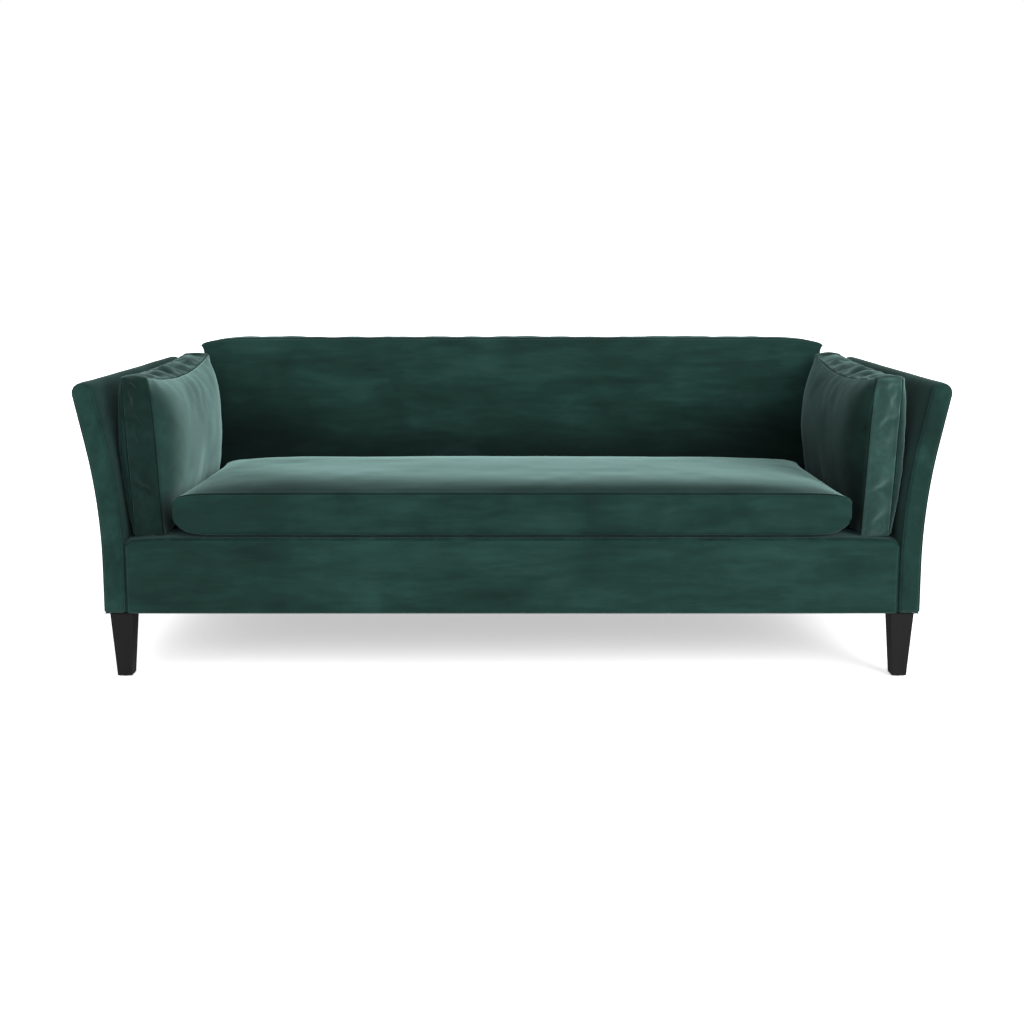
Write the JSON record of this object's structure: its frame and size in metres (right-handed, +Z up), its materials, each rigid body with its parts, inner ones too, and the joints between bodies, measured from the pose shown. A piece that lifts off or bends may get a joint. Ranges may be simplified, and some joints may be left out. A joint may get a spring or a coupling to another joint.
{
  "type": "sofa",
  "caption": "Velvet sofa with thin arms that flare outwards level with the back, one long seat cushion, one long back cushion, an upright cushion at each arm, and tapered legs.",
  "frame": {"origin": "on the floor, in the middle of the width and of the depth of the whole sofa", "axes": "+X to the right as seen from the front, along the sofa's length; +Y to the rear; +Z up"},
  "size_m": [2.152, 0.86, 0.8155],
  "materials": {
    "velvet": "dark green cotton-like velvet with a brushed nap",
    "lining": "plain woven lining cloth",
    "foam": "open-cell upholstery foam",
    "timber": "sawn frame timber",
    "black_wood": "satin near-black lacquer",
    "steel": "bright drawn wire and folded sheet",
    "nylon": "moulded glide",
    "zip": "zip on woven tape",
    "elastic": "woven elastic webbing"
  },
  "bodies": {
    "frame": {"right_arm_cover": "velvet", "left_arm_cover": "velvet", "back_cover": "velvet", "front_rail_cover": "velvet", "deck_cover": "lining", "dust_cover": "lining", "right_arm_pad": "foam", "left_arm_pad": "foam", "back_pad": "foam", "front_rail_pad": "foam", "deck_pad": "foam", "right_arm_front_post": "timber", "left_arm_front_post": "timber", "right_arm_rear_post": "timber", "left_arm_rear_post": "timber", "right_arm_top_rail": "timber", "left_arm_top_rail": "timber", "right_side_rail": "timber", "left_side_rail": "timber", "right_back_post": "timber", "left_back_post": "timber", "back_top_rail": "timber", "back_lower_rail": "timber", "back_centre_post": "timber", "front_rail": "timber", "rear_rail": "timber", "left_cross_rail": "timber", "right_cross_rail": "timber", "right_front_corner_block": "timber", "left_front_corner_block": "timber", "right_rear_corner_block": "timber", "left_rear_corner_block": "timber", "right_front_leg": "black_wood", "left_front_leg": "black_wood", "right_rear_leg": "black_wood", "left_rear_leg": "black_wood", "front_clip_rail": "steel", "rear_clip_rail": "steel", "seat_springs": "steel", "right_front_leg_bolt": "steel", "left_front_leg_bolt": "steel", "right_rear_leg_bolt": "steel", "left_rear_leg_bolt": "steel", "right_front_glider": "nylon", "left_front_glider": "nylon", "right_rear_glider": "nylon", "left_rear_glider": "nylon", "back_webbing": "elastic"},
    "seat_cushion": {"seat_cushion_cover": "velvet", "seat_cushion_core": "foam", "seat_cushion_zip": "zip"},
    "back_cushion": {"back_cushion_cover": "velvet", "back_cushion_core": "foam", "back_cushion_zip": "zip"},
    "left_arm_cushion": {"left_arm_cushion_cover": "velvet", "left_arm_cushion_core": "foam", "left_arm_cushion_zip": "zip"},
    "right_arm_cushion": {"right_arm_cushion_cover": "velvet", "right_arm_cushion_core": "foam", "right_arm_cushion_zip": "zip"}
  },
  "joints": [
    {"name": "seat_cushion_lift", "type": "slide", "parent": "frame", "child": "seat_cushion", "axis": [0, 0, 1], "range_m": [0, 0.45]},
    {"name": "back_cushion_lift", "type": "slide", "parent": "frame", "child": "back_cushion", "axis": [0, 0.2079, 0.9781], "range_m": [0, 0.45]},
    {"name": "left_arm_cushion_lift", "type": "slide", "parent": "frame", "child": "left_arm_cushion", "axis": [0, 0, 1], "range_m": [0, 0.45]},
    {"name": "right_arm_cushion_lift", "type": "slide", "parent": "frame", "child": "right_arm_cushion", "axis": [0, 0, 1], "range_m": [0, 0.45]}
  ]
}
